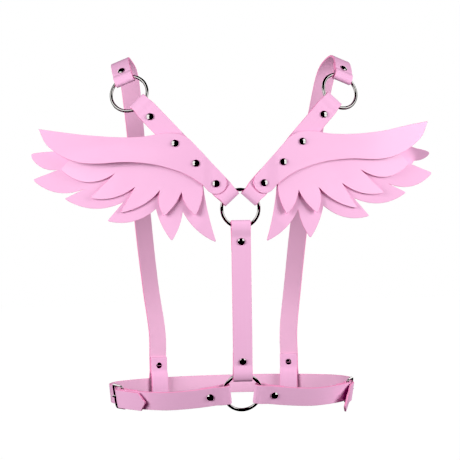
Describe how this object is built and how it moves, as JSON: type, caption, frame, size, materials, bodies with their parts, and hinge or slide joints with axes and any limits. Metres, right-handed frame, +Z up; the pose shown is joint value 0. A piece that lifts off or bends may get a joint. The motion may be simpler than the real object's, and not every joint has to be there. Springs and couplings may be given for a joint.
{
  "type": "angel wing body harness",
  "caption": "Leather-look body harness worn on the torso, with layered feather-cut wings on the back, metal rings, cap rivets and side buckles.",
  "frame": {"origin": "on the wearer's centre plane, level with the tops of the shoulder straps, where the harness sits on the torso", "axes": "+Z up the wearer's body, +Y to the wearer's front, +X to the wearer's right; the wings are on the -Y side"},
  "size_m": [0.4236, 0.2057, 0.3783],
  "materials": {
    "leather": "smooth pale pink leather look, satin, with bare cut edges",
    "nickel": "polished nickel plate"
  },
  "bodies": {
    "root": {"shoulder_ring_right": "nickel", "shoulder_ring_left": "nickel", "back_ring": "nickel", "waist_ring": "nickel", "back_strap_right": "leather", "back_strap_left": "leather", "back_strap_rivet_right": "nickel", "back_strap_rivet_left": "nickel", "shoulder_strap_right": "leather", "shoulder_strap_left": "leather", "shoulder_rivet_right": "nickel", "shoulder_rivet_left": "nickel", "front_loop_rivet_right": "nickel", "front_loop_rivet_left": "nickel", "spine_strap": "leather", "spine_rivet_upper": "nickel", "spine_rivet_lower": "nickel", "buckle_frame_right": "nickel", "buckle_frame_left": "nickel", "buckle_prong_right": "nickel", "buckle_prong_left": "nickel", "waist_strap_right": "leather", "waist_strap_left": "leather", "waist_rivet_right": "nickel", "waist_rivet_left": "nickel", "front_belt": "leather", "wing_back_right": "leather", "wing_back_left": "leather", "wing_middle_right": "leather", "wing_middle_left": "leather", "wing_top_right": "leather", "wing_top_left": "leather", "wing_rivet_1_right": "nickel", "wing_rivet_1_left": "nickel", "wing_rivet_2_right": "nickel", "wing_rivet_2_left": "nickel", "wing_rivet_3_right": "nickel", "wing_rivet_3_left": "nickel"}
  },
  "joints": []
}
